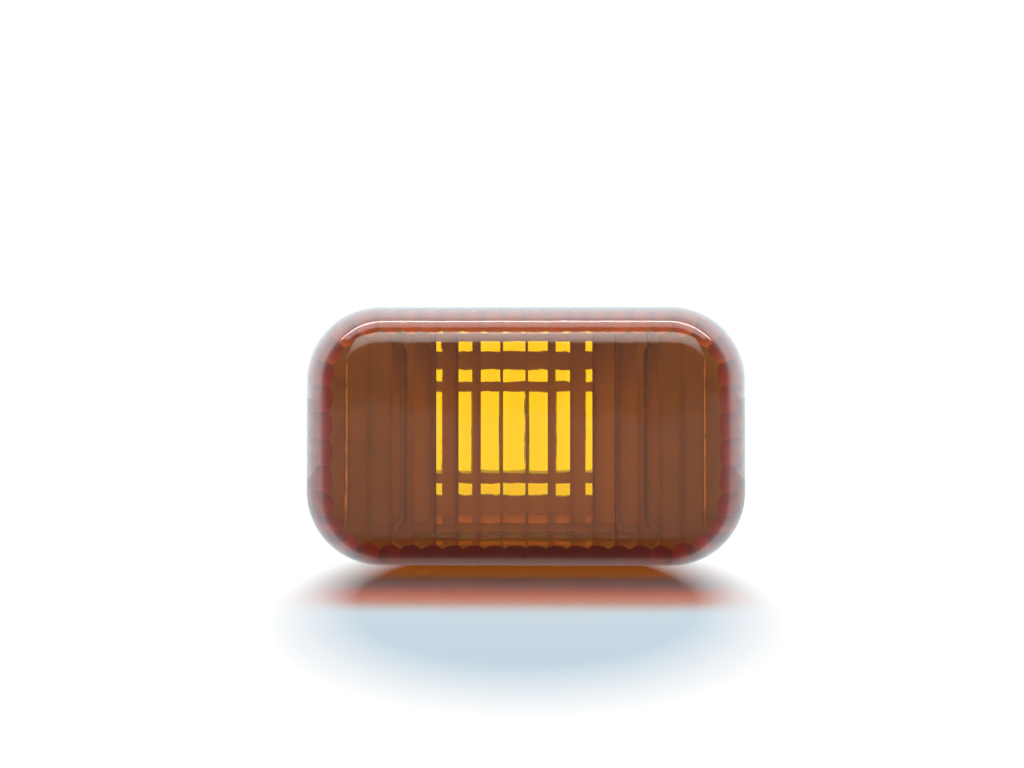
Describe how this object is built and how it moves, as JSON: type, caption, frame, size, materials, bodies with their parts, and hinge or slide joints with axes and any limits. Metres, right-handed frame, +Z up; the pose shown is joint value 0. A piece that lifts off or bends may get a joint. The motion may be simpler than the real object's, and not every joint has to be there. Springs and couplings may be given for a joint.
{
  "type": "side repeater lamp",
  "caption": "Amber side repeater lamp: a rounded, reeded lens on a dark housing that clips into a cut-out in a car wing, with a gasket, a retaining spring and a rear opening for a bulb holder.",
  "frame": {"origin": "centre of the gasket's rear face, on the outside of the car's panel, at the middle of the cut-out", "axes": "+Y through the panel into the car, so the lens looks along -Y; +X along the lamp's length, towards the retaining spring; +Z up"},
  "size_m": [0.074, 0.0382, 0.0436],
  "materials": {
    "amber_acrylic": "clear amber acrylic, polished outside, reeded inside",
    "dark_plastic": "dark grey moulded plastic, fine sparked texture",
    "seal_rubber": "black closed-cell rubber, matt",
    "spring_steel": "bright rolled spring steel"
  },
  "bodies": {
    "root": {"lens": "amber_acrylic", "housing": "dark_plastic", "gasket": "seal_rubber", "retaining_spring": "spring_steel"}
  },
  "joints": []
}
